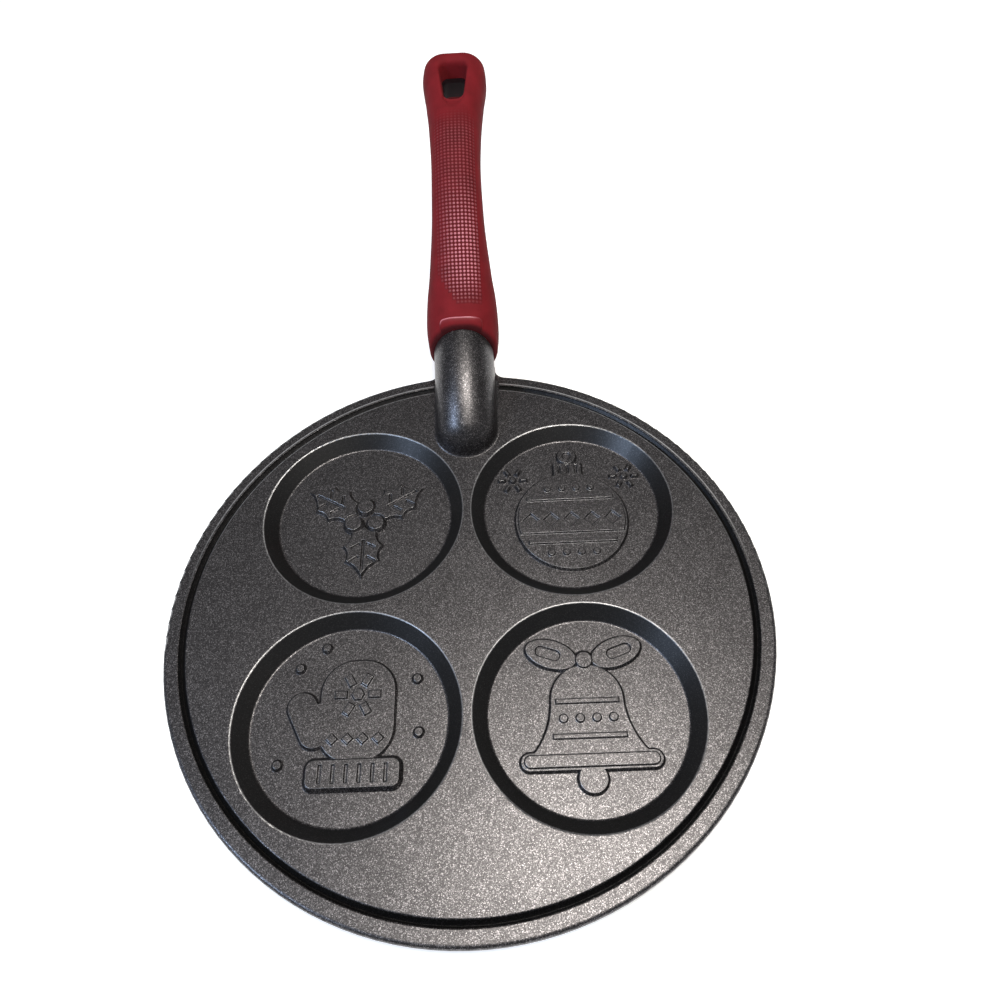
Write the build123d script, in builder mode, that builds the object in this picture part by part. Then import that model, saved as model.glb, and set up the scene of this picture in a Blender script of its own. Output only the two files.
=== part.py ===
from build123d import *
from math import asin, cos, degrees, radians, sin, sqrt, tan
import os

# A round cast griddle pan with four shallow wells, and a handle screwed to a tang on its rim.
# Millimetres. +Z is up and +Y points along the handle.
# The origin is the centre of the flat underside.

# Disc
pan_radius = 105.0
pan_thickness = 9.0
flange_thickness = 4.0
flange_width = 9.5
base_edge_radius = 2.0
rim_top_radius = 1.4
rim_bottom_radius = 1.0

# Groove inside the rim
rim_width = 4.4
groove_width = 3.4
groove_depth = 1.7
groove_bottom_radius = 0.4
groove_lip_radius = 0.35
groove_end_gap = 1.5

# Wells, spread evenly between the groove and the middle
well_count = 4
well_land = 4.5
well_gap = 3.0
well_depth = 4.8
well_wall_run = 4.9
well_lip_radius = 0.8
well_foot_radius = 0.8

# Raised pictures on the well floors, drawn for a floor of this radius and scaled to the real one
picture_radius = 32.6
picture_height = 1.1
picture_step = 0.6
picture_draft = 36.0
line_width = 1.3
line_depth = 0.6
leaf_hollow = 1.3

# Boss that carries the handle
boss_radius = 12.0
boss_length = 29.6
boss_angle = 25.0
boss_foot_radius = 1.2
boss_foot_sink = 0.4
lug_reach = 7.0
lug_inner_radius = 4.5
lug_corner_radius = 2.5

# Mouth of the grip, which fits round the boss
mouth_offset = 0.2
mouth_lean = -5.0
mouth_gap = 0.3
mouth_side_gap = 0.6
mouth_top_gap = 0.4
mouth_floor = 2.2
lip_length = 1.6
lip_swell = 1.2
mouth_swell = 2.5
mouth_swell_place = 7.0

# Top line of the grip: straight, one bend, straight
fan_length = 16.0
grip_length = 127.2
rise_angle = 32.0
end_angle = 11.0
straight_length = 48.0
bend_length = 40.0

# Sleeve and core
corner_share = 0.44
side_wall = 2.6
bottom_wall = 2.6
top_wall_front = 2.6
top_wall_end = 8.5
core_end_wall = 4.2
end_thickness = 20.6

# Thumb ridge on top of the sleeve
ridge_place = 0.9
ridge_length = 17.5
ridge_breadth = 3.9
ridge_height = 1.1
ridge_crown_radius = 15.0
ridge_root = 1.5

# Hanging hole
hole_end_wall = 7.0
hole_length = 21.0
hole_far_width = 12.4
hole_near_width = 8.1
hole_corner_radius = 2.6
hole_draft = 5.5

# Tang, screw and washer
tang_width = 12.0
tang_height = 9.0
tang_length = 38.0
tang_depth = 12.3
tang_corner_radius = 2.0
tang_clearance = 0.15
tang_root = 14.0
screw_place = 24.0
screw_thickness = 24.5
screw_radius = 2.5
thread_clearance = 0.05
screw_hole_clearance = 0.3
screw_grip = 7.0
screw_end_room = 0.5
head_radius = 4.6
head_height = 3.0
head_sink = 0.8
head_edge_radius = 0.9
head_clearance = 0.35
drive_width = 3.0
drive_depth = 1.8
washer_thickness = 1.2
washer_radius = 4.4
washer_bore_clearance = 0.25
washer_slit = 0.8

# Places that follow from the sizes above
groove_mid_radius = pan_radius - rim_width - groove_width / 2
well_reach = groove_mid_radius - groove_width / 2 - well_land
well_radius = (well_reach * sqrt(2) - well_gap) / (2 + sqrt(2))
well_circle_radius = well_reach - well_radius
well_floor_radius = well_radius - well_wall_run
well_floor_z = pan_thickness - well_depth
well_taper = degrees(asin(well_wall_run / sqrt(well_wall_run**2 + well_depth**2)))
flange_z = pan_thickness - flange_thickness
boss_y = pan_radius - boss_length
boss_slope = tan(radians(boss_angle))
boss_crown = (boss_length + mouth_offset) * boss_slope + boss_radius / cos(radians(boss_angle))
mouth_thickness = boss_crown + mouth_top_gap - mouth_floor


def grip_top(s):
    """Y, Z and slope of the grip's top line, s along it from the mouth."""
    rise = radians(rise_angle)
    run = min(s, straight_length)
    y = pan_radius + mouth_offset + run * cos(rise)
    z = pan_thickness + boss_crown + run * sin(rise)
    turned = min(max(s - straight_length, 0), bend_length)
    slope = rise_angle - (rise_angle - end_angle) * turned / bend_length
    bend_radius = bend_length / radians(rise_angle - end_angle)
    y += bend_radius * (sin(rise) - sin(radians(slope)))
    z += bend_radius * (cos(radians(slope)) - cos(rise))
    rest = max(s - straight_length - bend_length, 0)
    return y + rest * cos(radians(slope)), z + rest * sin(radians(slope)), slope


def cross_plane(s, depth):
    """Plane across the grip at s, its origin that depth below the top line, its local Y up."""
    y, z, slope = grip_top(s)
    lean = radians(mouth_lean + (slope - mouth_lean) * min(s / fan_length, 1))
    origin = (0, y + depth * sin(lean), z - depth * cos(lean))
    return Plane(origin=origin, x_dir=(-1, 0, 0), z_dir=(0, cos(lean), sin(lean)))


def along_plane(s, depth):
    """Plane parallel to the grip's top line at s, its normal up and its local Y to the pan."""
    y, z, slope = grip_top(s)
    tilt = radians(slope)
    origin = (0, y + depth * sin(tilt), z - depth * cos(tilt))
    return Plane(origin=origin, x_dir=(-1, 0, 0), z_dir=(0, -sin(tilt), cos(tilt)))


def run_plane(s, depth):
    """Plane square to the grip's run at s, its local Y up."""
    y, z, slope = grip_top(s)
    rise = radians(slope)
    origin = (0, y + depth * sin(rise), z - depth * cos(rise))
    return Plane(origin=origin, x_dir=(-1, 0, 0), z_dir=(0, cos(rise), sin(rise)))


# Sections of the grip: place, width, thickness, and how far its top lies below the top line
grip_sections = [
    (0, 2 * (boss_radius + mouth_side_gap), mouth_thickness, -mouth_top_gap),
    (lip_length, 2 * (boss_radius + mouth_side_gap + lip_swell), mouth_thickness + lip_swell, -mouth_top_gap),
    (mouth_swell_place, 2 * (boss_radius + mouth_swell), mouth_thickness + lip_swell, 0),
    (screw_place, 25.1, screw_thickness, 0),
    (straight_length, 20.9, 20.6, 0),
    (straight_length + bend_length / 2, 20.0, 19.5, 0),
    (straight_length + bend_length, 21.4, 19.6, 0),
    (grip_length - 22, 24.4, 20.2, 0),
    (grip_length - 10, 27.0, end_thickness, 0),
    (grip_length - 3.6, 26.0, 20.0, 0.3),
    (grip_length - 1, 23.0, 17.4, 1.6),
    (grip_length, 19.0, 13.6, 3.5),
]


def grip_faces():
    """Faces across the grip, from the mouth to its end."""
    faces = []
    for place, width, thickness, inset in grip_sections:
        with BuildSketch(cross_plane(place, inset + thickness / 2)) as section:
            RectangleRounded(width, thickness, corner_share * thickness)
        faces.append(section.sketch.face())
    return faces


def core_faces():
    """Faces across the core, inside the sleeve's walls, lower where the top wall thickens."""
    faces = []
    core_end = grip_length - core_end_wall
    rows = [row for row in grip_sections if row[0] < core_end - core_end_wall]
    rows.append((core_end, *rows[-1][1:]))
    for place, width, thickness, inset in rows:
        share = min(max((place - straight_length) / bend_length, 0), 1)
        top_wall = top_wall_front + (top_wall_end - top_wall_front) * share
        core_thickness = thickness - top_wall - bottom_wall
        core_width = width - 2 * side_wall
        with BuildSketch(cross_plane(place, inset + top_wall + core_thickness / 2)) as section:
            RectangleRounded(core_width, core_thickness, corner_share * core_thickness)
        faces.append(section.sketch.face())
    return faces


def cut_hanging_hole():
    """Drafted hole, narrowest half way down the grip."""
    middle = grip_length - hole_end_wall - hole_length / 2
    narrowing = end_thickness / 2 * tan(radians(hole_draft))
    half_length = hole_length / 2 - narrowing
    far_half = hole_far_width / 2 - narrowing
    near_half = hole_near_width / 2 - narrowing
    for way in (1, -1):
        with BuildSketch(along_plane(middle, end_thickness / 2)) as outline:
            with BuildLine():
                Polyline(
                    (-far_half, -half_length),
                    (far_half, -half_length),
                    (near_half, half_length),
                    (-near_half, half_length),
                    close=True,
                )
            make_face()
            fillet(outline.vertices(), hole_corner_radius)
        extrude(outline.sketch, amount=way * end_thickness, taper=-hole_draft, mode=Mode.SUBTRACT)


# Depths below the top line, along the screw
tang_under = tang_depth + tang_height / 2
head_outer_depth = screw_thickness - head_sink
head_seat_depth = head_outer_depth - head_height
washer_seat_depth = head_seat_depth - washer_thickness
screw_tip_depth = tang_under - screw_grip


def round_bar(radius, deep, shallow, mode=Mode.ADD):
    """Cylinder along the screw's axis, between two depths below the top line."""
    with BuildSketch(along_plane(screw_place, deep)) as disc:
        Circle(radius)
    extrude(disc.sketch, amount=deep - shallow, mode=mode)


# Pictures, each in its own frame on a well floor, its top towards the handle.
# Shapes that overlap are kept in layers of their own, so each wall can be drawn in.
def snowflake(x, y, reach):
    """Hexagon with six arms that stand clear of it."""
    with Locations((x, y)):
        RegularPolygon(0.3 * reach, 6)
        with PolarLocations(0.7 * reach, 6):
            Rectangle(0.56 * reach, 0.36 * reach)


def leaf(turn):
    """Holly leaf with three spines a side, pointing away from the middle at that angle."""
    side = [(2.0, 0.0), (5.5, -5.2), (12.0, -8.2), (18.5, -6.8), (26.5, 0.0)]
    corners = side + [(x, -y) for x, y in side[-2:0:-1]] + side[:1]
    with BuildLine(Plane.XY.rotated((0, 0, turn))) as outline:
        for (x1, y1), (x2, y2) in zip(corners, corners[1:]):
            run = sqrt((x2 - x1) ** 2 + (y2 - y1) ** 2)
            inward = leaf_hollow / run
            middle = ((x1 + x2) / 2 - inward * (y2 - y1), (y1 + y2) / 2 + inward * (x2 - x1))
            ThreePointArc((x1, y1), middle, (x2, y2))
    make_face(outline.edges())


leaf_turns = (30, 150, 270)
berry_circle = 4.9


def holly_leaves():
    for turn in leaf_turns:
        leaf(turn)


def holly_berries():
    with PolarLocations(berry_circle, 3, start_angle=90):
        Circle(4.1)


def holly_veins():
    with PolarLocations(16, 3, start_angle=leaf_turns[0]):
        Rectangle(13, line_width)
    for side in (1, -1):
        for reach, spread in ((12.5, 13), (18, 10)):
            with PolarLocations(reach, 3, start_angle=leaf_turns[0] + side * spread):
                Rectangle(4, line_width, rotation=side * 48)


bauble_y = -4.5


def bauble_ball():
    with Locations((0, bauble_y)):
        Circle(21.5)
    with Locations((0, 18.5)):
        RectangleRounded(12, 7, 1.2)
    for side in (-1, 1):
        snowflake(side * 21.5, 14.5, 6)


def bauble_ring():
    with Locations((0, 24.7)):
        Circle(4.2)


def bauble_bands():
    with Locations((0, bauble_y)):
        Circle(20.2)
        Rectangle(60, 12, mode=Mode.INTERSECT)
    for side in (-1, 1):
        with Locations((0, bauble_y + side * 9.4)):
            Rectangle(33, 2)
        with Locations((0, bauble_y + side * 14)):
            with GridLocations(5.5, 0, 4, 1):
                Circle(1.5)


def bauble_diamonds():
    with Locations((0, bauble_y)):
        with GridLocations(7.6, 0, 5, 1):
            RegularPolygon(3.2, 4)


def bauble_cuts():
    with Locations((0, 24.7)):
        Circle(1.9)
    with Locations((0, 18.5)):
        with GridLocations(3.2, 0, 3, 1):
            Rectangle(line_width, 4)


mitten_x = 2.5
cuff_y = -16.5


def mitten_hand():
    with Locations((mitten_x, 4)):
        RectangleRounded(26, 35, 11.5)
    with Locations((-13.5, 1)):
        SlotOverall(21, 11, rotation=118)
    for x, y in ((-18, 19), (22, 14), (-22, -13), (-9.5, 26), (23, -4)):
        with Locations((x, y)):
            Circle(2)


def mitten_cuff():
    with Locations((mitten_x, cuff_y)):
        RectangleRounded(32, 11, 3.5)


def mitten_flake():
    snowflake(mitten_x, 9, 8)
    with Locations((mitten_x, -5.6)):
        with GridLocations(5, 0, 4, 1):
            RegularPolygon(2.2, 4)


def mitten_ribs():
    with Locations((mitten_x, cuff_y)):
        with GridLocations(4.2, 0, 6, 1):
            Rectangle(line_width, 6)


bell_brim_y = -15
bow_y = 19


def bell_body():
    with BuildLine() as outline:
        ThreePointArc((19.5, -13), (14.4, -5), (12.5, 5))
        ThreePointArc((12.5, 5), (0, 17), (-12.5, 5))
        ThreePointArc((-12.5, 5), (-14.4, -5), (-19.5, -13))
        Line((-19.5, -13), (19.5, -13))
    make_face(outline.edges())
    with Locations((0, bell_brim_y)):
        SlotOverall(46, 7)


def bell_clapper():
    with Locations((0, -20.5)):
        Circle(5.2)


def bell_bow():
    for side in (-1, 1):
        with Locations((side * 11, bow_y + 1.5)):
            Ellipse(9.5, 5.6, rotation=side * 20)


def bell_knot():
    with Locations((0, bow_y - 1)):
        Circle(3.8)


def bell_bands():
    with Locations((0, bell_brim_y)):
        SlotOverall(43, 4.4)
    with Locations((0, 4)):
        Rectangle(21, 2)
    with Locations((0, -1.6)):
        with GridLocations(5.4, 0, 4, 1):
            Circle(1.6)
    with Locations((0, -7.4)):
        Rectangle(24, 2)


def bow_loops():
    for side in (-1, 1):
        with Locations((side * 12, bow_y + 1.9)):
            SlotOverall(9, 4, rotation=side * 20)


# Layers of each picture: a drawing, the height it starts from, and how far up or down it goes
picture_crown = picture_height + picture_step
pictures = [
    [
        (bauble_ball, 0, picture_height),
        (bauble_ring, 0, picture_height),
        (bauble_bands, picture_height, picture_step),
        (bauble_diamonds, picture_crown, -line_depth),
        (bauble_cuts, picture_height, -line_depth),
    ],
    [
        (holly_leaves, 0, picture_height),
        (holly_berries, 0, picture_crown),
        (holly_veins, picture_height, -line_depth),
    ],
    [
        (mitten_hand, 0, picture_height),
        (mitten_cuff, 0, picture_crown),
        (mitten_flake, picture_height, picture_step),
        (mitten_ribs, picture_crown, -line_depth),
    ],
    [
        (bell_body, 0, picture_height),
        (bell_clapper, 0, picture_height),
        (bell_bow, 0, picture_height),
        (bell_knot, 0, picture_crown),
        (bell_bands, picture_height, picture_step),
        (bow_loops, picture_height, -line_depth),
    ],
]


def picture_layer(number, drawing, height, amount):
    """One layer of a picture on its well floor, its walls drawn in as it goes up or down."""
    place = radians(360 / well_count * (number + 0.5))
    x = well_circle_radius * cos(place)
    y = well_circle_radius * sin(place)
    with BuildSketch(Plane(origin=(x, y, well_floor_z + height))) as layer:
        drawing()
        scale(by=well_floor_radius / picture_radius)
    mode = Mode.ADD if amount > 0 else Mode.SUBTRACT
    extrude(layer.sketch, amount=amount, taper=picture_draft, mode=mode)


def boss_foot():
    """Section of the hollow at the boss's foot, on both sides, sunk a little into both walls."""
    sunk_x = boss_radius - boss_foot_sink
    sunk_z = pan_thickness - boss_foot_sink
    outer = (boss_radius + boss_foot_radius, pan_thickness)
    upper = (boss_radius, pan_thickness + boss_foot_radius)
    foot_plane = Plane(origin=(0, boss_y, 0), x_dir=(-1, 0, 0), z_dir=(0, 1, 0))
    with BuildSketch(foot_plane) as foot:
        with BuildLine():
            Polyline((outer[0], sunk_z), (sunk_x, sunk_z), (sunk_x, upper[1]), upper)
            RadiusArc(upper, outer, -boss_foot_radius)
            Line(outer, (outer[0], sunk_z))
        make_face()
        mirror(about=Plane.YZ)
    return foot.sketch


# Pan body: the disc and the lug under the boss
with BuildPart() as pan_body:
    hollow_x = boss_radius + lug_inner_radius
    hollow_y = sqrt((pan_radius + lug_inner_radius) ** 2 - hollow_x**2)
    rim_share = pan_radius / (pan_radius + lug_inner_radius)
    rim_touch = (hollow_x * rim_share, hollow_y * rim_share)
    lug_touch = (boss_radius, hollow_y)
    lug_end = pan_radius + lug_reach
    with BuildSketch(Plane.XY.offset(flange_z)) as plan:
        with BuildLine():
            Line((0, boss_y), rim_touch)
            RadiusArc(rim_touch, lug_touch, lug_inner_radius)
            Polyline(lug_touch, (boss_radius, lug_end), (0, lug_end), (0, boss_y))
        make_face()
        mirror(about=Plane.YZ)
        Circle(pan_radius)
        fillet(plan.vertices().group_by(Axis.Y)[-1], lug_corner_radius)
    extrude(amount=flange_thickness)
    fillet(pan_body.faces().sort_by(Axis.Z)[-1].edges(), rim_top_radius)
    fillet(pan_body.faces().sort_by(Axis.Z)[0].edges(), rim_bottom_radius)
    with BuildSketch():
        Circle(pan_radius - flange_width)
    extrude(amount=flange_z + rim_bottom_radius)
    fillet(pan_body.faces().sort_by(Axis.Z)[0].edges(), base_edge_radius)

    # Boss: a half capsule along a rising axis, on walls that stand straight up
    boss_rise = radians(boss_angle)
    boss_start = (0, boss_y, pan_thickness)
    with BuildSketch(Plane(origin=boss_start, x_dir=(-1, 0, 0), z_dir=(0, cos(boss_rise), sin(boss_rise)))):
        Circle(boss_radius)
        with Locations((0, -boss_radius)):
            Rectangle(4 * boss_radius, 2 * boss_radius, mode=Mode.SUBTRACT)
    extrude(amount=2 * boss_length)
    with Locations(boss_start):
        Sphere(boss_radius, arc_size1=0, align=(Align.CENTER, Align.CENTER, Align.MIN))
    wall_end = boss_y + 2 * boss_length
    with BuildSketch(Plane.YZ):
        with BuildLine():
            Polyline(
                (boss_y, pan_thickness),
                (wall_end, pan_thickness),
                (wall_end, pan_thickness + 2 * boss_length * boss_slope),
                close=True,
            )
        make_face()
    extrude(amount=boss_radius, both=True)

    # The boss ends a hair before the mouth of the grip
    mouth_y, mouth_z, _ = grip_top(0)
    mouth_slant = tan(radians(mouth_lean))
    mouth_foot_y = mouth_y + (mouth_z - pan_thickness) * mouth_slant - mouth_gap
    mouth_crown_y = mouth_foot_y - mouth_z * mouth_slant
    with BuildSketch(Plane.YZ):
        with BuildLine():
            Polyline(
                (mouth_foot_y, pan_thickness),
                (wall_end + boss_length, pan_thickness),
                (wall_end + boss_length, pan_thickness + mouth_z),
                (mouth_crown_y, pan_thickness + mouth_z),
                close=True,
            )
        make_face()
    extrude(amount=2 * boss_radius, both=True, mode=Mode.SUBTRACT)

    # Hollow round the foot of the boss: straight along both walls, and turned round its inner end
    extrude(boss_foot(), amount=mouth_foot_y - boss_foot_radius - boss_y)
    revolve(boss_foot(), axis=Axis((0, boss_y, 0), (0, 0, 1)), revolution_arc=180)

    # Groove, which stops short of the boss at both sides
    groove_half_gap = degrees(asin((boss_radius + groove_end_gap) / groove_mid_radius))
    groove_start = radians(90 + groove_half_gap)
    groove_plane = Plane(
        origin=(0, 0, pan_thickness),
        x_dir=(cos(groove_start), sin(groove_start), 0),
        z_dir=(sin(groove_start), -cos(groove_start), 0),
    )
    with BuildSketch(groove_plane) as groove:
        with Locations((groove_mid_radius, 0)):
            Polygon(
                (-groove_width / 2, 0),
                (0, -groove_depth),
                (groove_width / 2, 0),
                align=None,
            )
        fillet(groove.vertices().sort_by(Axis.Z)[0], groove_bottom_radius)
    revolve(axis=Axis.Z, revolution_arc=360 - 2 * groove_half_gap, mode=Mode.SUBTRACT)
    rings = pan_body.edges().filter_by(GeomType.CIRCLE)
    lips = rings.filter_by(lambda ring: abs(abs(ring.radius - groove_mid_radius) - groove_width / 2) < 0.01)
    fillet(lips, groove_lip_radius)

    # Wells with sloping walls
    with BuildSketch(Plane.XY.offset(pan_thickness)):
        with PolarLocations(well_circle_radius, well_count, start_angle=180 / well_count):
            Circle(well_radius)
    extrude(amount=-well_depth, taper=well_taper, mode=Mode.SUBTRACT)
    rings = pan_body.edges().filter_by(GeomType.CIRCLE)
    fillet(rings.filter_by(lambda ring: abs(ring.radius - well_radius) < 0.01), well_lip_radius)
    rings = pan_body.edges().filter_by(GeomType.CIRCLE)
    fillet(rings.filter_by(lambda ring: abs(ring.radius - well_floor_radius) < 0.01), well_foot_radius)

    # Raised pictures
    for number, layers in enumerate(pictures):
        for drawing, height, amount in layers:
            picture_layer(number, drawing, height, amount)

    # Tang along the handle, with its threaded hole
    with BuildSketch(run_plane(0, tang_depth).offset(-tang_root)):
        RectangleRounded(tang_width, tang_height, tang_corner_radius)
    extrude(amount=tang_root + tang_length)
    round_bar(screw_radius + thread_clearance, tang_under, screw_tip_depth - screw_end_room, Mode.SUBTRACT)

# Core inside the sleeve
with BuildPart() as handle_core:
    loft(core_faces())
    with BuildSketch(run_plane(0, tang_depth).offset(-tang_root)):
        RectangleRounded(
            tang_width + 2 * tang_clearance,
            tang_height + 2 * tang_clearance,
            tang_corner_radius + tang_clearance,
        )
    extrude(amount=tang_root + tang_length + tang_clearance, mode=Mode.SUBTRACT)
    round_bar(screw_radius + screw_hole_clearance, screw_thickness, tang_under, Mode.SUBTRACT)
    round_bar(head_radius + head_clearance, screw_thickness, washer_seat_depth, Mode.SUBTRACT)
    cut_hanging_hole()

# Soft sleeve, the core taken out of it
with BuildPart() as grip_sleeve:
    loft(grip_faces())
    with BuildSketch(run_plane(ridge_place, ridge_crown_radius)):
        Circle(ridge_crown_radius + ridge_height)
        Circle(ridge_crown_radius - ridge_root, mode=Mode.SUBTRACT)
        with Locations((0, ridge_crown_radius)):
            Rectangle(ridge_length, ridge_crown_radius, mode=Mode.INTERSECT)
    extrude(amount=ridge_breadth)
    loft(core_faces(), mode=Mode.SUBTRACT)
    round_bar(head_radius + head_clearance, 2 * screw_thickness, washer_seat_depth, Mode.SUBTRACT)
    cut_hanging_hole()

# Screw from below, with a hexagon socket in its head
with BuildPart() as handle_screw:
    round_bar(head_radius, head_outer_depth, head_seat_depth)
    head_face = handle_screw.faces().sort_by(Axis.Z)[0]
    fillet(head_face.edges(), head_edge_radius)
    round_bar(screw_radius, head_seat_depth, screw_tip_depth)
    with BuildSketch(along_plane(screw_place, head_outer_depth)):
        RegularPolygon(drive_width / 2, 6, major_radius=False)
    extrude(amount=drive_depth, mode=Mode.SUBTRACT)

# Split lock washer under the head
with BuildPart() as lock_washer:
    with BuildSketch(along_plane(screw_place, head_seat_depth)):
        Circle(washer_radius)
        Circle(screw_radius + washer_bore_clearance, mode=Mode.SUBTRACT)
        with Locations((washer_radius, 0)):
            Rectangle(2 * washer_radius, washer_slit, mode=Mode.SUBTRACT)
    extrude(amount=washer_thickness)

os.makedirs("parts", exist_ok=True)
nodes = {
    "pan_body": pan_body,
    "handle_core": handle_core,
    "grip_sleeve": grip_sleeve,
    "handle_screw": handle_screw,
    "lock_washer": lock_washer,
}
for name, node in nodes.items():
    node.part.label = name
    export_step(node.part, f"parts/{name}.step")
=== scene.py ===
import bpy
import numpy as np
from math import atan, cos, pi, radians, tan
from mathutils import Matrix, Vector


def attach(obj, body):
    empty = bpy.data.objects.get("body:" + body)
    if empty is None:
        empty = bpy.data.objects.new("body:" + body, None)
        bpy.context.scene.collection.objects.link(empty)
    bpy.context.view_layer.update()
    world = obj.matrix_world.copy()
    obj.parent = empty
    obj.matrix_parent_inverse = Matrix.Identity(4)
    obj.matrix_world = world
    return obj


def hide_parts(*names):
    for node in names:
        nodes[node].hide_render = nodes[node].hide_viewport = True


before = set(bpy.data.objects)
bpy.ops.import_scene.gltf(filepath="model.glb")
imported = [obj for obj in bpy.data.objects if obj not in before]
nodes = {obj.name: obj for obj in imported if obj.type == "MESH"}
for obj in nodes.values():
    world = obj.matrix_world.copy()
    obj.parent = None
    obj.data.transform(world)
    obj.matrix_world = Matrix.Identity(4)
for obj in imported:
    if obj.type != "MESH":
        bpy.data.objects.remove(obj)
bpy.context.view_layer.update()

scene = bpy.context.scene
mm = 0.001

# Camera, in millimetres from the centre of the pan's underside
camera_place = (19.3, -118.0, 256.7)
camera_forward = (-0.0229, 0.5425, -0.8397)
camera_up = (0.0437, 0.8397, 0.5413)
sensor_width = 36.0

# The lens's focal length, as a share of the picture's width
focal_share = 0.78315

# Pan and boss, in millimetres and degrees
pan_radius = 105.0
pan_thickness = 9.0
boss_radius = 12.0
boss_length = 29.6
boss_angle = 25.0
base_face_radius = 93.5
lathe_pitch = 0.55

# Groove: radii of its two lips, and how far from the pan's middle line it stops beside the boss
groove_lips = (97.2, 100.6)
groove_end = 13.5

# Wells: radii at the lip and the floor, the middle's offset along X and Y, and the floor's height
well_radius = 37.52
well_floor_radius = 32.62
well_offset = 39.02
well_floor = 4.2

# Heights between which the edges of the raised pictures lie
picture_low = 4.9
picture_high = 6.4

# Half the width of a painted glint line on the lips of the groove and of the wells, and how far the shading
# rounds an edge
groove_glint = 0.36
well_glint = 0.35
edge_radius = 0.3

# Shading of the boss's crown, as if it were rounded along its length: where it keeps its own slope, and how
# fast it turns away from there
crown_middle = 83.5
crown_turn = 8.0

# Top line of the grip: straight, one bend, straight
mouth_offset = 0.2
mouth_lean = -5.0
fan_length = 16.0
grip_length = 127.2
rise_angle = 32.0
end_angle = 11.0
straight_length = 48.0
bend_length = 40.0

# Walls of the sleeve round the core
corner_share = 0.44
side_wall = 2.6
bottom_wall = 2.6
top_wall_front = 2.6
top_wall_end = 8.5
core_end = grip_length - 4.2
core_room = 0.08
lip_radius = 1.2

# Field of bumps on top of the grip
bump_pitch = 1.5
bump_radius = 0.64
bump_height = 0.26
bump_flat = 0.55
bump_columns = 12
field_start = 10.5
field_end = 94.5
fade_start = 80.0
fade_width = 3.0
far_fade = 0.85
side_fade = 0.4
left_fade = 0.3
corner_rise = 1.57
streak_share = 0.45

# Where the bumps' tops get a painted highlight, along the grip and across it, and how much; and how much
# painted shade lies in the gaps
highlight_from = 9.0
highlight_most = (22.0, 34.0)
highlight_to = 66.0
highlight_left = (-11.0, 1.0)
highlight_right = (16.0, 6.0)
highlight_least = 0.40
highlight_more = 0.60
gap_painted_shade = 0.65

# Thumb ridge behind the mouth
ridge_end = 4.1
ridge_half_length = 8.5
ridge_height = 1.2
ridge_soft = 0.6
ridge_corner = 1.7
ridge_crown = 0.25
ridge_glint_fade = 0.8

# Hanging hole
hole_middle = grip_length - 17.5
hole_length = 21.0
hole_far_width = 12.4
hole_near_width = 8.1
hole_corner_radius = 2.6
hole_draft = 5.5
hole_waist = 10.3
hole_room = 0.22
hole_lip_side = 1.3
hole_lip_far = 2.8
lip_change = (4.0, 10.0)
scoop_length = 5.8
scoop_depth = 1.7
scoop_half_width = 1.4
scoop_widening = 3.4
scoop_soft = 1.2

# Recess for the screw's head, under the grip
screw_place = 24.0
recess_radius = 4.95
recess_depth = 19.5
grip_depth = 24.5

# Steps of the grip's mesh
steps_per_bump = 7
fine = bump_pitch / steps_per_bump
top_columns = 104
side_steps = 22

boss_rise = radians(boss_angle)
boss_crown = (boss_length + mouth_offset) * tan(boss_rise) + boss_radius / cos(boss_rise)

# Sections of the grip: place, width, thickness, and how far its top lies below the top line
grip_sections = np.array([
    (0, 25.2, 25.34, -0.4),
    (1.6, 27.6, 26.54, -0.4),
    (7, 29.0, 26.54, 0),
    (24, 25.1, 24.5, 0),
    (48, 20.9, 20.6, 0),
    (68, 20.0, 19.5, 0),
    (88, 21.4, 19.6, 0),
    (grip_length - 22, 24.4, 20.2, 0),
    (grip_length - 10, 27.0, 20.6, 0),
    (grip_length - 3.6, 26.0, 20.0, 0.3),
    (grip_length - 1, 23.0, 17.4, 1.6),
    (grip_length, 19.0, 13.6, 3.5),
])


# The grip's shape
def smooth(low, high, value):
    """0 at low and past it, 1 at high and past it, and a soft step between."""
    share = np.clip((value - low) / (high - low), 0, 1)
    return share * share * (3 - 2 * share)


def through(places, values, s):
    """Smooth curve through the values at their places, with no overshoot."""
    width = np.diff(places)
    rise = np.diff(values) / width
    slope = np.zeros(len(values))
    slope[0], slope[-1] = rise[0], rise[-1]
    product = rise[1:] * rise[:-1]
    total = np.where(product > 0, rise[1:] + rise[:-1], 1)
    slope[1:-1] = np.where(product > 0, 2 * product / total, 0)
    i = np.clip(np.searchsorted(places, s, side="right") - 1, 0, len(width) - 1)
    t = (s - places[i]) / width[i]
    start = values[i] * (1 + 2 * t) * (1 - t) ** 2 + values[i + 1] * t * t * (3 - 2 * t)
    return start + width[i] * t * (1 - t) * (slope[i] * (1 - t) - slope[i + 1] * t)


def grip_top(s):
    """Y, Z and slope of the grip's top line, s along it from the mouth."""
    rise, end = radians(rise_angle), radians(end_angle)
    run = np.minimum(s, straight_length)
    rest = np.maximum(s - straight_length - bend_length, 0)
    slope = rise - (rise - end) * np.clip(s - straight_length, 0, bend_length) / bend_length
    bend = bend_length / (rise - end)
    y = pan_radius + mouth_offset + run * np.cos(rise) + rest * np.cos(slope)
    z = pan_thickness + boss_crown + run * np.sin(rise) + rest * np.sin(slope)
    return y + bend * (np.sin(rise) - np.sin(slope)), z + bend * (np.cos(slope) - np.cos(rise)), slope


def across(s, x, depth):
    """Points of the section at s, by their x and depth below the top line."""
    y, z, slope = grip_top(s)
    mouth = radians(mouth_lean)
    lean = mouth + (slope - mouth) * np.clip(s / fan_length, 0, 1)
    early = np.minimum(s, 0)
    return np.stack([x + 0 * depth, y + early + depth * np.sin(lean), z - depth * np.cos(lean)], -1)


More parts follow.
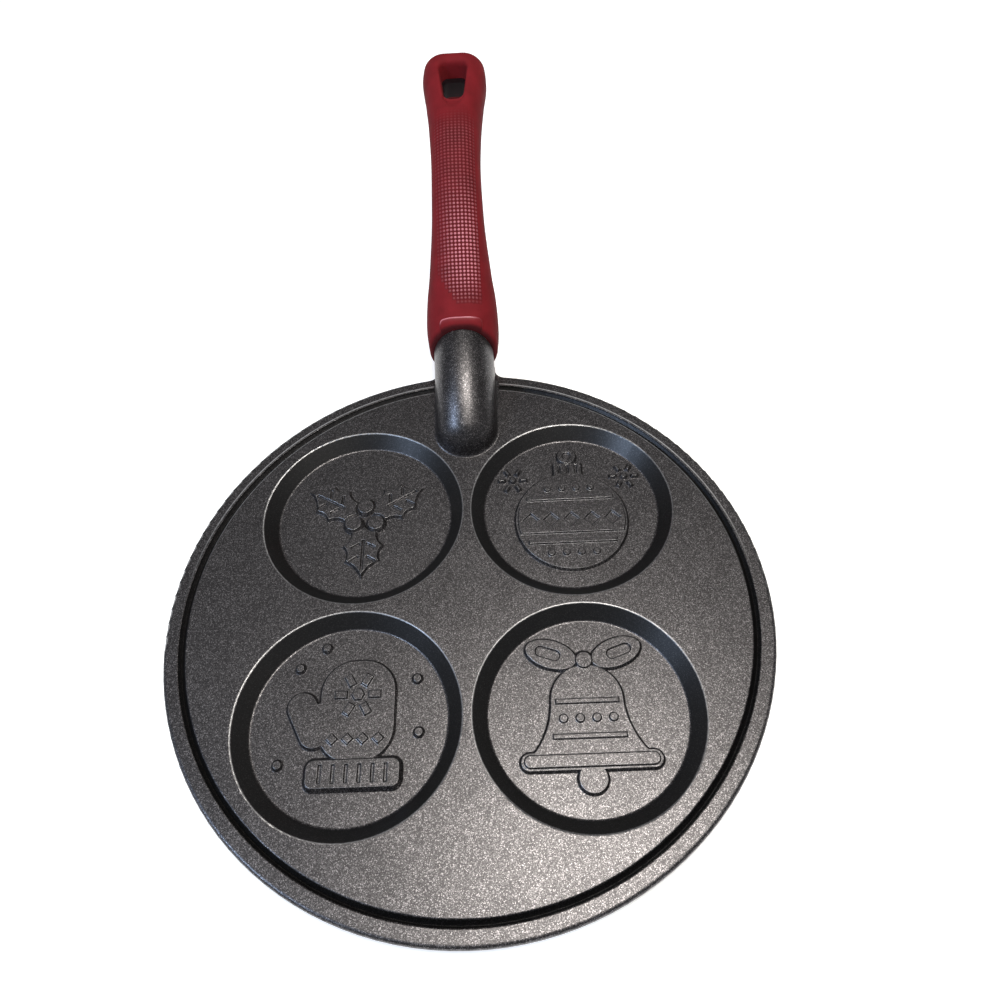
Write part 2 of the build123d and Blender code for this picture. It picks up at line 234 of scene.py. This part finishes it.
def under(place, x, along, depth):
    """Points by x, distance along the grip's run from a place on it, and depth square to that run."""
    y, z, slope = grip_top(place)
    y = y + along * np.cos(slope) + depth * np.sin(slope)
    z = z + along * np.sin(slope) - depth * np.cos(slope)
    return np.stack([x + 0 * y, y, z], -1)


def outline(width, thickness, arc):
    """X, depth and turn of the outward normal on a rounded rectangle, arc measured from its top's middle."""
    radius = corner_share * thickness
    flat = width / 2 - radius
    quarter = radius * pi / 2
    side = thickness - 2 * radius
    way = np.abs(arc)
    upper = np.clip((way - flat) / radius, 0, pi / 2)
    lower = np.clip((way - flat - quarter - side) / radius, 0, pi / 2)
    back = np.clip(way - flat - 2 * quarter - side, 0, None)
    x = np.minimum(way, flat) + radius * np.sin(upper) - radius * (1 - np.cos(lower)) - back
    depth = radius * (1 - np.cos(upper)) + np.clip(way - flat - quarter, 0, side) + radius * np.sin(lower)
    return np.sign(arc) * x, depth, np.sign(arc) * (upper + lower)


def half_girth(width, thickness):
    """Length of half the outline, from its top's middle to its bottom's."""
    radius = corner_share * thickness
    return width - 2 * radius + pi * radius + thickness - 2 * radius


def hole_corners(grow):
    """Corner centres of the hanging hole on one side, half its length apart, and its corner radius."""
    narrowing = hole_waist * tan(radians(hole_draft))
    half = hole_length / 2 - narrowing
    far = hole_far_width / 2 - narrowing
    near = hole_near_width / 2 - narrowing
    splay = atan((far - near) / (2 * half))
    reach = half - hole_corner_radius
    middle = (far + near) / 2 - hole_corner_radius / cos(splay)
    run = reach * tan(splay)
    return reach, middle + run, middle - run, splay, hole_corner_radius + grow


def hole_distance(x, along):
    """Distance from the hole's rim on the surface, 0 or less inside it."""
    reach, far, near, _, radius = hole_corners(hole_waist * tan(radians(hole_draft)))
    corners = [(0, -reach), (near, -reach), (far, reach), (0, reach)]
    x = np.abs(x)
    best = np.full(x.shape, 1e9)
    for (x1, v1), (x2, v2) in zip(corners, corners[1:]):
        share = ((x - x1) * (x2 - x1) + (along - v1) * (v2 - v1)) / ((x2 - x1) ** 2 + (v2 - v1) ** 2)
        share = np.clip(share, 0, 1)
        best = np.minimum(best, np.hypot(x - x1 - share * (x2 - x1), along - v1 - share * (v2 - v1)))
    width_here = near + (far - near) * (along + reach) / (2 * reach)
    inside = (np.abs(along) < reach) & (x < width_here)
    return np.where(inside, 0, best) - radius


def bumps(s, arc):
    """Share of the bumps' height, and how strong the field is there.
    They fade at the field's edges and run together at its far end."""
    column = np.round(arc / bump_pitch - 0.5) + 0.5
    row = np.round((s - field_start) / bump_pitch)
    along, aside = np.abs(s - field_start - row * bump_pitch), np.abs(arc - column * bump_pitch)
    off = (along**3 + aside**3) ** (1 / 3) / bump_radius
    dome = smooth(1.0, bump_flat, off)
    strip = np.clip(1 - (aside / bump_radius) ** 2, 0, 1)
    line = streak_share * strip * smooth(fade_start, field_end - 2 * fade_width, s)
    place = field_start + row * bump_pitch
    centre = column * bump_pitch
    first = field_start + corner_rise * np.clip(-centre - bump_pitch, 0, None)
    strength = smooth(first - fade_width, first + fade_width, place)
    strength = strength * (1 - far_fade * smooth(fade_start, field_end, place))
    strength = np.where((place < first - 0.1) | (place > field_end), 0, strength)
    strength = np.where(np.abs(column) < bump_columns / 2, strength, 0)
    edge = bump_pitch * bump_columns / 2
    strength = strength * (1 - side_fade * smooth(edge - fade_width, edge, np.abs(centre)))
    strength = strength * (1 - left_fade * smooth(0, edge, -centre))
    return strength * np.maximum(dome, line), strength


def ridge(s, arc):
    """Height of the thumb ridge, with rounded ends, and how strong the painted highlight on its edge is.
    The painted highlight fades inward, to the right and towards the mouth."""
    sideways = np.clip(np.abs(arc) - ridge_half_length + ridge_corner, 0, None)
    back = np.clip(s - ridge_end + ridge_corner, 0, None)
    gap = ridge_corner - np.hypot(sideways, back)
    crown = 1 - ridge_crown * (arc / ridge_half_length) ** 2
    height = ridge_height * crown * np.sqrt(1 - (1 - np.clip(gap / ridge_soft, 0, 1)) ** 2)
    # Painted highlight along the ridge's edge, fading inward, to the right and towards the mouth.
    edge = smooth(0.1, 0.4, gap) * (1 - ridge_glint_fade * smooth(0.6, 1.2, gap))
    edge = edge * (1 - ridge_glint_fade * smooth(4, 8, arc))
    return height, edge * smooth(1.2, 3.2, s)


def lips(s, x):
    """How far the surface turns in at the mouth, at the end, round the hanging hole and into its scoop."""
    edge = np.clip(lip_radius - np.minimum(s, grip_length - s), 0, lip_radius)
    turned = lip_radius - np.sqrt(lip_radius**2 - edge**2)
    along = s - hole_middle
    radius = hole_lip_side + (hole_lip_far - hole_lip_side) * smooth(*lip_change, along)
    near = np.clip(radius - hole_distance(x, along), 0, radius)
    turned = turned + radius - np.sqrt(radius**2 - near**2)
    share = np.clip((along + hole_length / 2 + scoop_length) / scoop_length, 0, 1)
    half = scoop_half_width + scoop_widening * share
    inside = smooth(0, scoop_soft, half - np.abs(x)) * (along < 0)
    return turned + scoop_depth * share**2 * inside * (1 - near / radius)


# Meshes
def new_piece(name, points, faces):
    """Mesh object from points in millimetres."""
    mesh = bpy.data.meshes.new(name)
    mesh.from_pydata((np.asarray(points) * mm).tolist(), [], faces)
    mesh.validate()
    piece = bpy.data.objects.new(name, mesh)
    scene.collection.objects.link(piece)
    return piece


def skin(name, rings):
    """Closed mesh through rings of points, with a flat face at each end."""
    count, around = len(rings), len(rings[0])
    index = np.arange(count * around).reshape(count, around)
    next_one = np.roll(index, -1, axis=1)
    quads = np.stack([index[:-1], next_one[:-1], next_one[1:], index[1:]], -1).reshape(-1, 4)
    faces = quads.tolist() + [index[0][::-1].tolist(), index[-1].tolist()]
    return new_piece(name, np.concatenate(rings), faces)


def grip_rings():
    """Rings of points from the mouth to the closed end, and each point's painted highlight and painted shade.
    """
    row_places = field_start + fine * np.arange(int((field_end + 2 - field_start) / fine))
    mouth = lip_radius * (1 - np.cos(np.linspace(0, pi / 2, 6)))
    s = np.concatenate([
        mouth,
        np.linspace(lip_radius, field_start, 44)[1:-1],
        row_places,
        np.linspace(row_places[-1], grip_length - 1, 100)[1:],
        grip_length - np.array([0.7, 0.45, 0.22, 0.08, 0]),
    ])
    places = grip_sections[:, 0]
    width, thickness, inset = (through(places, grip_sections[:, k], s)[:, None] for k in (1, 2, 3))
    top = (np.arange(top_columns) - (top_columns - 1) / 2) * fine
    rest = np.arange(1, side_steps + 1) / side_steps
    right = top[-1] + (half_girth(width, thickness) - top[-1]) * rest
    arc = np.concatenate([-right[:, -2::-1], np.repeat(top[None], len(s), 0), right], 1)
    s = s[:, None] + 0 * arc
    x, depth, turn = outline(width, thickness, arc)
    dome, field = bumps(s, arc)
    bar, bar_glint = ridge(s, arc)
    lift = bump_height * dome + bar - np.where(np.cos(turn) > 0.2, lips(s, x), lips(s, 1e3))
    rings = across(s, x + lift * np.sin(turn), inset + depth - lift * np.cos(turn))
    middle = rings[-1].mean(0)
    caps = np.array([middle + (rings[-1] - middle) * share for share in (0.97, 0.9, 0.7, 0.4)])
    # Painted highlight: the bump tops and the ridge's edge are painted pale pink, strongest where the grip
    # catches the light; the same mark makes them glossier.
    near, far = highlight_most
    highlight_share = smooth(highlight_from, near, s) * smooth(highlight_to, far, s)
    highlight_share = highlight_share * smooth(*highlight_left, arc) * smooth(*highlight_right, arc)
    highlight_share = highlight_least + highlight_more * highlight_share
    painted_highlight = np.maximum(highlight_share * smooth(0.5, 0.9, dome / np.maximum(field, 0.3)) * field, bar_glint)
    # Painted shade in the gaps between the bumps and along the mouth's edge.
    painted_shade = np.maximum(gap_painted_shade * field * (1 - dome), smooth(1.0, 0, s))
    marks = [np.concatenate([share, np.zeros(caps.shape[:2])]).ravel() for share in (painted_highlight, painted_shade)]
    return np.concatenate([rings, caps]), marks


def core_rings():
    """Room for the core, from before the mouth to the core's end."""
    places = grip_sections[:9, 0]
    s = np.concatenate([[-1, 0], np.linspace(0, places[-1], 60)[1:], [core_end]])
    held = np.clip(s, 0, places[-1])
    width, thickness, inset = (through(places, grip_sections[:9, k], held) for k in (1, 2, 3))
    share = np.clip((held - straight_length) / bend_length, 0, 1)
    top_wall = top_wall_front + (top_wall_end - top_wall_front) * share - core_room
    width = width - 2 * (side_wall - core_room)
    thickness = thickness - top_wall - bottom_wall + core_room
    around = np.linspace(-1, 1, 73)[1:]
    rings = []
    for k in range(len(s)):
        x, depth, _ = outline(width[k], thickness[k], around * half_girth(width[k], thickness[k]))
        rings.append(across(s[k] + core_room * (s[k] > places[-1]), x, inset[k] + top_wall[k] + depth))
    return rings


def hole_rings():
    """Hanging hole, narrowest half way down."""
    rings = []
    past = 8
    for depth in (-past, hole_waist, 2 * hole_waist + past):
        grow = abs(depth - hole_waist) * tan(radians(hole_draft)) + hole_room
        reach, far, near, splay, radius = hole_corners(grow)
        turns = np.linspace(-splay, pi / 2, 9)
        low = np.linspace(-pi / 2, -splay, 9)
        x = np.concatenate([near + radius * np.cos(low), far + radius * np.cos(turns)])
        along = np.concatenate([-reach + radius * np.sin(low), reach + radius * np.sin(turns)])
        x, along = np.concatenate([x, -x[::-1]]), np.concatenate([along, along[::-1]])
        rings.append(under(hole_middle, x, along, depth))
    return rings[::-1]


def recess_rings():
    """Recess for the screw's head, with a broken edge."""
    turn = np.linspace(0, 2 * pi, 65)[:-1]
    widening = ((recess_depth, 0), (grip_depth - 0.6, 0), (grip_depth, 0.35), (grip_depth + 4, 3.5))
    rings = []
    for depth, wider in widening:
        radius = recess_radius + wider
        rings.append(under(screw_place, radius * np.cos(turn), radius * np.sin(turn), depth))
    return rings[::-1]


def outward(piece):
    """Turns the faces outward where a closed mesh was wound the other way."""
    mesh = piece.data
    points = np.array([v.co for v in mesh.vertices])
    volume = 0.0
    for face in mesh.polygons:
        corners = points[list(face.vertices)]
        volume += np.dot(corners[0], np.cross(corners[1:-1], corners[2:]).sum(0))
    if volume < 0:
        mesh.flip_normals()
    return piece


def cut(piece, *cutters):
    """Takes the cutters out of the piece."""
    for cutter in cutters:
        modifier = piece.modifiers.new("cut", "BOOLEAN")
        modifier.operation = "DIFFERENCE"
        modifier.solver = "MANIFOLD"
        modifier.object = cutter
    graph = bpy.context.evaluated_depsgraph_get()
    mesh = bpy.data.meshes.new_from_object(piece.evaluated_get(graph))
    piece.modifiers.clear()
    piece.data = mesh
    for cutter in cutters:
        bpy.data.objects.remove(cutter)


def mark(piece, painted_highlight, painted_shade):
    """Gives each point of the mesh its painted highlight and its painted shade, for its material."""
    for name, values in (("painted_highlight", painted_highlight), ("painted_shade", painted_shade)):
        values = np.zeros(len(piece.data.vertices), np.float32) + np.asarray(values, np.float32)
        piece.data.attributes.new(name, "FLOAT", "POINT").data.foreach_set("value", values)


def make_grip():
    """The soft sleeve, with its bumps, in the place of the plain one."""
    rings, marks = grip_rings()
    grip = outward(skin("soft_grip", rings))
    core = outward(skin("core_room", core_rings()))
    hole = outward(skin("hole_room", hole_rings()))
    recess = outward(skin("recess_room", recess_rings()))
    mark(grip, *marks)
    # Painted shade on the walls cut by the core's room, the hanging hole and the screw's recess; no painted
    # highlight there.
    for room, dark in ((core, 1.0), (hole, 0.85), (recess, 0.6)):
        mark(room, 0.0, dark)
    cut(grip, core, hole, recess)
    for face in grip.data.polygons:
        face.use_smooth = True
    grip.data.set_sharp_from_angle(angle=radians(50))
    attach(grip, "root")
    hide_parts("grip_sleeve")
    return grip


# Materials
def new_material(name):
    """A material, its node tree and its shader."""
    material = bpy.data.materials.new(name)
    material.use_nodes = True
    tree = material.node_tree
    return material, tree, tree.nodes["Principled BSDF"]


def fill(tree, node, values):
    """Sets each input of a node to a number or colour, or links it to another node's output."""
    for key, value in values.items():
        if isinstance(value, bpy.types.NodeSocket):
            tree.links.new(value, node.inputs[key])
        else:
            node.inputs[key].default_value = value


def add(tree, kind, values, **settings):
    """A node with its inputs and settings."""
    node = tree.nodes.new(kind)
    for key, value in settings.items():
        setattr(node, key, value)
    fill(tree, node, values)
    return node


def count(tree, operation, *values):
    """One step of arithmetic."""
    return add(tree, "ShaderNodeMath", dict(enumerate(values)), operation=operation).outputs[0]


def ramp(tree, value, *stops):
    """Colour by value, through stops of a place and a grey or a colour."""
    node = add(tree, "ShaderNodeValToRGB", {"Fac": value})
    line = node.color_ramp.elements
    while len(line) < len(stops):
        line.new(0.5)
    for stop, (place, shade) in zip(line, stops):
        stop.position = place
        stop.color = (*(shade if isinstance(shade, tuple) else (shade,) * 3), 1)
    return node.outputs["Color"]


def mix(tree, share, first, second):
    """Colour between two others."""
    node = add(tree, "ShaderNodeMix", {"Factor": share}, data_type="RGBA")
    sockets = [node.inputs[6], node.inputs[7]]
    for socket, colour in zip(sockets, (first, second)):
        if isinstance(colour, bpy.types.NodeSocket):
            tree.links.new(colour, socket)
        else:
            socket.default_value = (*colour, 1)
    return node.outputs[2]


def noise(tree, place, scale, detail=2.0):
    """Soft noise over the surface, 0 to 1, its scale in cells a metre."""
    return add(tree, "ShaderNodeTexNoise", {"Vector": place, "Scale": scale, "Detail": detail}).outputs["Fac"]


def bump(tree, height, distance, normal=None):
    """Fine relief, over the surface or over another normal."""
    node = add(tree, "ShaderNodeBump", {"Height": height, "Distance": distance})
    if normal:
        tree.links.new(normal, node.inputs["Normal"])
    return node.outputs["Normal"]


def soft_step(tree, value, low, high):
    """0 at low, 1 at high, and a soft step between."""
    return add(tree, "ShaderNodeMapRange", {
        "Value": value, "From Min": low, "From Max": high, "To Min": 0.0, "To Max": 1.0,
    }, interpolation_type="SMOOTHSTEP").outputs[0]


def step(tree, value, low, high):
    """The same over a length, with low and high in millimetres."""
    return soft_step(tree, value, low * mm, high * mm)


def ring_line(tree, radius, centre, half_width):
    """1 on a thin ring of that radius, and 0 away from it."""
    off = count(tree, "ABSOLUTE", count(tree, "SUBTRACT", radius, centre * mm))
    return step(tree, off, half_width, 0.0)


def product(tree, first, *others):
    """Product of values or sockets."""
    for value in others:
        first = count(tree, "MULTIPLY", first, value)
    return first


def crowned(tree, y, share, normal):
    """Turns the normal as on a crown that is rounded along Y, over that share of the surface."""
    off = count(tree, "SUBTRACT", y, crown_middle * mm)
    height = product(tree, off, off, -crown_turn)
    turned = add(tree, "ShaderNodeBump", {"Height": height, "Distance": 1.0, "Normal": normal})
    node = add(tree, "ShaderNodeMix", {"Factor": share}, data_type="VECTOR")
    tree.links.new(normal, node.inputs[4])
    tree.links.new(turned.outputs["Normal"], node.inputs[5])
    return node.outputs[1]


def reach(tree, x, y, offset):
    """Distance from the middle, or from the nearest of four points at that offset along both axes."""
    squares = []
    for side in (x, y):
        off = count(tree, "SUBTRACT", count(tree, "ABSOLUTE", side), offset * mm)
        squares.append(product(tree, off, off))
    return count(tree, "SQRT", count(tree, "ADD", *squares))


def flake_coat(tree, place):
    """Charcoal full of fine metal flakes, a little cloudy and slightly warm."""
    cells = add(tree, "ShaderNodeTexVoronoi", {"Vector": place, "Scale": 4100})
    single = add(tree, "ShaderNodeSeparateColor", {"Color": cells.outputs["Color"]}).outputs[0]
    flakes = ramp(tree, single, (0.0, 0.039), (0.50, 0.061), (0.86, 0.128), (1.0, 0.285))
    cloud = ramp(tree, noise(tree, place, 90), (0.3, (0.86, 0.815, 0.835)), (0.7, (1.0, 0.948, 0.970)))
    coat = mix(tree, 1.0, flakes, cloud)
    coat.node.blend_type = "MULTIPLY"
    return coat


def painted_lip_glints(tree, x, y, z, radius, from_well):
    """Share of painted glint on the lips of the wells and, at the far end, of the groove."""
    top = count(tree, "GREATER_THAN", z, (pan_thickness - 0.35) * mm)
    above = above_face(tree, z)
    far_end = step(tree, y, 0.0, 70.0)
    clear = count(tree, "GREATER_THAN", count(tree, "ABSOLUTE", x), groove_end * mm)
    groove = count(tree, "ADD", *(ring_line(tree, radius, lip, groove_glint) for lip in groove_lips))
    groove = product(tree, groove, far_end, clear)
    wells = product(tree, ring_line(tree, from_well, well_radius, well_glint), 0.35)
    lines = count(tree, "ADD", groove, wells)
    return product(tree, lines, top, count(tree, "SUBTRACT", 1.0, above))


def above_face(tree, z):
    """1 on the boss, which stands above the pan's upper face, and 0 below it."""
    return count(tree, "GREATER_THAN", z, (pan_thickness + 0.03) * mm)


def picture_edge_glints(tree, z, facing, soft):
    """Share of painted glint on the pictures' upper edges, where the rounded normal leaves the flat one."""
    flat = add(tree, "ShaderNodeNewGeometry", {}).outputs["Normal"]
    agree = add(tree, "ShaderNodeVectorMath", {0: soft, 1: flat}, operation="DOT_PRODUCT").outputs["Value"]
    return product(
        tree,
        soft_step(tree, count(tree, "SUBTRACT", 1.0, agree), 0.004, 0.07),
        count(tree, "GREATER_THAN", facing, 0.9),
        count(tree, "GREATER_THAN", z, picture_low * mm),
        count(tree, "LESS_THAN", z, picture_high * mm),
        0.5,
    )


def wall_painted_shade(tree, coat, z, radius, from_well):
    """The coat with painted shade, darker on the walls of the wells and darkest in the groove."""
    wall_shade = product(
        tree,
        0.85,
        step(tree, z, pan_thickness - 0.08, pan_thickness - 0.45),
        step(tree, z, well_floor + 0.1, well_floor + 0.4),
        step(tree, from_well, well_floor_radius, well_floor_radius + 0.5),
        step(tree, radius, groove_lips[1] + 0.9, groove_lips[1] + 0.4),
    )
    in_groove = count(tree, "GREATER_THAN", radius, (groove_lips[0] - 1) * mm)
    # Painted shade: near black in the groove, a little lighter on the wells' walls.
    return mix(tree, wall_shade, coat, ramp(tree, in_groove, (0.4, 0.034), (0.6, 0.010)))


def pan_coating():
    """Charcoal nonstick coating full of fine metal flakes, with painted glints on its lips and edges and
    painted shade in its hollows, and a turned face underneath.
    """
    material, tree, shader = new_material("nonstick_coating")
    coordinates = add(tree, "ShaderNodeTexCoord", {})
    place = coordinates.outputs["Object"]
    apart = add(tree, "ShaderNodeSeparateXYZ", {"Vector": place})
    facing = add(tree, "ShaderNodeSeparateXYZ", {"Vector": coordinates.outputs["Normal"]}).outputs["Z"]
    x, y, z = (apart.outputs[axis] for axis in "XYZ")
    radius = reach(tree, x, y, 0)
    from_well = reach(tree, x, y, well_offset)
    soft = add(tree, "ShaderNodeBevel", {"Radius": edge_radius * mm}, samples=4).outputs["Normal"]

    # Painted glints: pale lines on the lips of the groove and the wells and on the pictures' upper edges,
    # broken up by noise.
    lip_glints = painted_lip_glints(tree, x, y, z, radius, from_well)
    painted_highlight = count(tree, "ADD", lip_glints, picture_edge_glints(tree, z, facing, soft))
    painted_highlight = product(tree, painted_highlight, ramp(tree, noise(tree, place, 900), (0.3, 0.55), (0.6, 1.0)))
    # Painted shade on the walls of the wells and in the groove.
    coat = wall_painted_shade(tree, flake_coat(tree, place), z, radius, from_well)
    # The painted glints are pale grey.
    coat = mix(tree, painted_highlight, coat, (0.72, 0.72, 0.73))

    turned = product(
        tree,
        count(tree, "LESS_THAN", z, 0.2 * mm),
        count(tree, "LESS_THAN", facing, -0.98),
        count(tree, "LESS_THAN", radius, base_face_radius * mm),
    )
    lathe = count(tree, "SINE", product(tree, radius, 2 * pi / (lathe_pitch * mm)))
    streaks = noise(tree, radius, 4200, 3.0)
    bare = ramp(tree, streaks, (0.3, (0.36, 0.36, 0.37)), (0.7, (0.52, 0.52, 0.53)))
    height = count(tree, "ADD", noise(tree, place, 2400, 1.0), product(tree, lathe, turned))
    fill(tree, shader, {
        "Base Color": mix(tree, turned, coat, bare),
        "Metallic": 0.9,
        "Roughness": count(tree, "ADD", 0.372, product(tree, noise(tree, place, 60), 0.05)),
        "Normal": crowned(tree, y, above_face(tree, z), bump(tree, height, 0.012 * mm, soft)),
    })
    return material


def soft_rubber():
    """Crimson soft-touch rubber with a fine matt grain, glossy with a painted pink highlight on the marked
    bump tops and ridge edge, and painted darker as shade in the gaps and hollows.
    """
    material, tree, shader = new_material("soft_grip")
    place = add(tree, "ShaderNodeTexCoord", {}).outputs["Object"]
    cloud = noise(tree, place, 130, 4.0)
    grain = noise(tree, place, 3200, 2.0)
    painted_highlight = add(tree, "ShaderNodeAttribute", {}, attribute_name="painted_highlight").outputs["Fac"]
    painted_shade = add(tree, "ShaderNodeAttribute", {}, attribute_name="painted_shade").outputs["Fac"]
    body = ramp(tree, cloud, (0.3, (0.118, 0.0026, 0.0052)), (0.7, (0.166, 0.0052, 0.0095)))
    # Painted shade: near black red where the painted-shade mark is.
    body = mix(tree, product(tree, painted_shade, 0.85), body, (0.030, 0.001, 0.002))
    gloss = count(tree, "MINIMUM", product(tree, painted_highlight, 2.0), 1.0)
    rough = count(tree, "ADD", 0.76, product(tree, grain, 0.10))
    fill(tree, shader, {
        # Painted highlight: pale pink where the painted-highlight mark is; the same mark lowers the
        # roughness.
        "Base Color": mix(tree, product(tree, painted_highlight, painted_highlight, 0.8), body, (0.60, 0.21, 0.25)),
        "Roughness": count(tree, "SUBTRACT", rough, product(tree, gloss, 0.46)),
        "Normal": bump(tree, grain, 0.012 * mm),
        "Specular IOR Level": 0.24,
    })
    return material


def core_plastic():
    """Hard black plastic with the fine texture of its mould."""
    material, tree, shader = new_material("core_plastic")
    place = add(tree, "ShaderNodeTexCoord", {}).outputs["Object"]
    grain = noise(tree, place, 2600, 3.0)
    dark, light = (0.010, 0.0025, 0.004), (0.015, 0.004, 0.006)
    fill(tree, shader, {
        "Base Color": ramp(tree, noise(tree, place, 160), (0.3, dark), (0.7, light)),
        "Roughness": count(tree, "ADD", 0.5, product(tree, grain, 0.15)),
        "Specular IOR Level": 0.12,
        "Normal": bump(tree, grain, 0.03 * mm),
    })
    return material


def zinc(name, light, rough):
    """Zinc plate, a little cloudy, with fine scratches."""
    material, tree, shader = new_material(name)
    place = add(tree, "ShaderNodeTexCoord", {}).outputs["Object"]
    cloud = noise(tree, place, 700, 3.0)
    stretched = add(tree, "ShaderNodeMapping", {"Vector": place, "Scale": (1, 14, 14)}).outputs[0]
    scratches = noise(tree, stretched, 900, 2.0)
    fill(tree, shader, {
        "Base Color": ramp(tree, cloud, (0.3, light - 0.12), (0.7, light)),
        "Metallic": 1.0,
        "Roughness": count(tree, "ADD", rough, product(tree, scratches, 0.15)),
        "Normal": bump(tree, scratches, 0.01 * mm),
    })
    return material


def dress(piece, material):
    """The material alone on the piece."""
    piece.data.materials.clear()
    piece.data.materials.append(material)


# Floor, light and camera
def add_floor():
    """White floor that glows a little to the eye and in reflections, and keeps its shadow."""
    bpy.ops.mesh.primitive_plane_add(size=40, location=(0, 0, 0))
    floor = bpy.context.object
    floor.name = "floor"
    material, tree, shader = new_material("floor_paper")
    path = add(tree, "ShaderNodeLightPath", {})
    shown = count(tree, "ADD", path.outputs["Is Camera Ray"], path.outputs["Is Glossy Ray"])
    shown = count(tree, "MINIMUM", count(tree, "ADD", shown, path.outputs["Is Transmission Ray"]), 1.0)
    fill(tree, shader, {
        "Base Color": (0.80, 0.80, 0.79, 1),
        "Roughness": 0.9,
        "Emission Color": (1, 1, 1, 1),
        "Emission Strength": product(tree, shown, 0.55),
    })
    dress(floor, material)


def add_lamp(name, place, target, size, power, colour):
    lamp = bpy.data.lights.new(name, "AREA")
    lamp.shape = "DISK"
    lamp.size = size
    lamp.energy = power
    lamp.color = colour
    holder = bpy.data.objects.new(name, lamp)
    scene.collection.objects.link(holder)
    holder.location = place
    aim = Vector(target) - Vector(place)
    holder.rotation_euler = aim.to_track_quat("-Z", "Y").to_euler()


def add_camera():
    data = bpy.data.cameras.new("camera")
    data.sensor_width = sensor_width
    data.lens = focal_share * sensor_width
    data.clip_start = 0.01
    holder = bpy.data.objects.new("camera", data)
    scene.collection.objects.link(holder)
    forward = Vector(camera_forward).normalized()
    right = forward.cross(Vector(camera_up)).normalized()
    up = right.cross(forward)
    turn = Matrix((right, up, -forward)).transposed().to_4x4()
    holder.matrix_world = Matrix.Translation(Vector(camera_place) * mm) @ turn
    scene.camera = holder


def add_world():
    """Soft room light, brightest overhead and paler again at the horizon."""
    world = bpy.data.worlds.new("world")
    world.use_nodes = True
    tree = world.node_tree
    direction = add(tree, "ShaderNodeTexCoord", {}).outputs["Generated"]
    height = add(tree, "ShaderNodeSeparateXYZ", {"Vector": direction}).outputs["Z"]
    dim = (0.12, 0.12, 0.13)
    steps = ((0.0, 0.42), (0.12, 0.27), (0.35, dim), (0.6, dim), (0.85, 0.42), (1.0, 0.50))
    fill(tree, tree.nodes["Background"], {"Color": ramp(tree, height, *steps), "Strength": 1.0})
    scene.world = world


grip = make_grip()
dress(grip, soft_rubber())
dress(nodes["pan_body"], pan_coating())
dress(nodes["handle_core"], core_plastic())
dress(nodes["handle_screw"], zinc("zinc_screw", 0.62, 0.24))
dress(nodes["lock_washer"], zinc("zinc_washer", 0.55, 0.30))

add_floor()
warm, blue = (1.0, 0.96, 0.89), (0.55, 0.72, 1.0)
add_lamp("key", place=(0.083, -0.02, 0.62), target=(0.0, 0.0, 0.0), size=0.24, power=3.75, colour=warm)
add_lamp("fill", place=(-0.70, -0.35, 0.72), target=(0.0, 0.05, 0.0), size=0.20, power=5.4, colour=blue)
add_camera()
add_world()
scene.view_settings.view_transform = "Standard"
